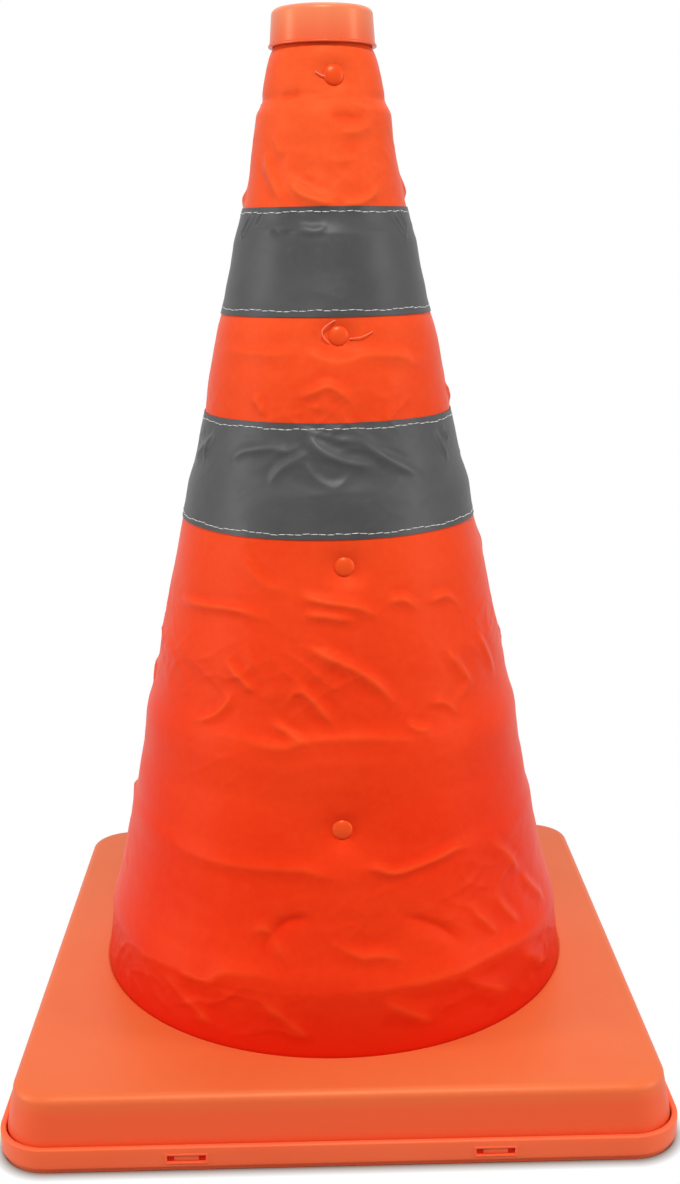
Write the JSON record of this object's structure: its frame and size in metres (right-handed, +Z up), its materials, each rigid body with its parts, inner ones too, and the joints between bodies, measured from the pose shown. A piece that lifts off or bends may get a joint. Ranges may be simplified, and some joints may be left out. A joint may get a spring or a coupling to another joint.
{
  "type": "collapsible traffic cone",
  "caption": "Folding traffic cone: square snap-together base, telescoping tapered tiers under a sewn cloth sleeve with reflective bands, and a push-on cap.",
  "frame": {"origin": "on the ground, under the cone's axis: the centre of the tray's underside", "axes": "+Z up along the cone's axis; the row of rivets that shows faces -Y; X and Y along the base's sides"},
  "size_m": [0.275, 0.275, 0.4488],
  "materials": {
    "tray_plastic": "satin orange moulded plastic",
    "cover_plastic": "fine satin orange moulded plastic",
    "tier_plastic": "plain orange moulded plastic, hidden under the cloth",
    "cap_plastic": "smooth satin orange moulded plastic",
    "rivet_plastic": "glossy orange plastic",
    "sleeve_cloth": "fine woven fluorescent red-orange cloth, creased",
    "band_tape": "grey retroreflective tape with white stitching"
  },
  "bodies": {
    "base": {"base_tray": "tray_plastic", "base_cover": "cover_plastic", "collar_ring": "tier_plastic", "fabric_sleeve": "sleeve_cloth", "reflective_band_upper": "band_tape", "reflective_band_lower": "band_tape"},
    "tier_8": {"section_8": "tier_plastic"},
    "tier_7": {"section_7": "tier_plastic", "rivet_front_7": "rivet_plastic", "rivet_washer_front_7": "tier_plastic", "rivet_back_7": "rivet_plastic", "rivet_washer_back_7": "tier_plastic"},
    "tier_6": {"section_6": "tier_plastic"},
    "tier_5": {"section_5": "tier_plastic", "rivet_front_5": "rivet_plastic", "rivet_washer_front_5": "tier_plastic", "rivet_back_5": "rivet_plastic", "rivet_washer_back_5": "tier_plastic"},
    "tier_4": {"section_4": "tier_plastic"},
    "tier_3": {"section_3": "tier_plastic", "rivet_front_3": "rivet_plastic", "rivet_washer_front_3": "tier_plastic", "rivet_back_3": "rivet_plastic", "rivet_washer_back_3": "tier_plastic"},
    "tier_2": {"section_2": "tier_plastic"},
    "tier_1": {"section_1": "tier_plastic", "top_cap": "cap_plastic", "rivet_front_1": "rivet_plastic", "rivet_washer_front_1": "tier_plastic", "rivet_back_1": "rivet_plastic", "rivet_washer_back_1": "tier_plastic"}
  },
  "joints": [
    {"name": "section_8_slide", "type": "slide", "parent": "base", "child": "tier_8", "axis": [0, 0, 1], "range_m": [-0.048, 0], "deforming": ["fabric_sleeve", "reflective_band_upper", "reflective_band_lower"]},
    {"name": "section_7_slide", "type": "slide", "parent": "tier_8", "child": "tier_7", "axis": [0, 0, 1], "range_m": [-0.0502, 0]},
    {"name": "section_6_slide", "type": "slide", "parent": "tier_7", "child": "tier_6", "axis": [0, 0, 1], "range_m": [-0.0502, 0]},
    {"name": "section_5_slide", "type": "slide", "parent": "tier_6", "child": "tier_5", "axis": [0, 0, 1], "range_m": [-0.0502, 0]},
    {"name": "section_4_slide", "type": "slide", "parent": "tier_5", "child": "tier_4", "axis": [0, 0, 1], "range_m": [-0.0502, 0]},
    {"name": "section_3_slide", "type": "slide", "parent": "tier_4", "child": "tier_3", "axis": [0, 0, 1], "range_m": [-0.0502, 0]},
    {"name": "section_2_slide", "type": "slide", "parent": "tier_3", "child": "tier_2", "axis": [0, 0, 1], "range_m": [-0.0502, 0]},
    {"name": "section_1_slide", "type": "slide", "parent": "tier_2", "child": "tier_1", "axis": [0, 0, 1], "range_m": [-0.0502, 0]}
  ]
}
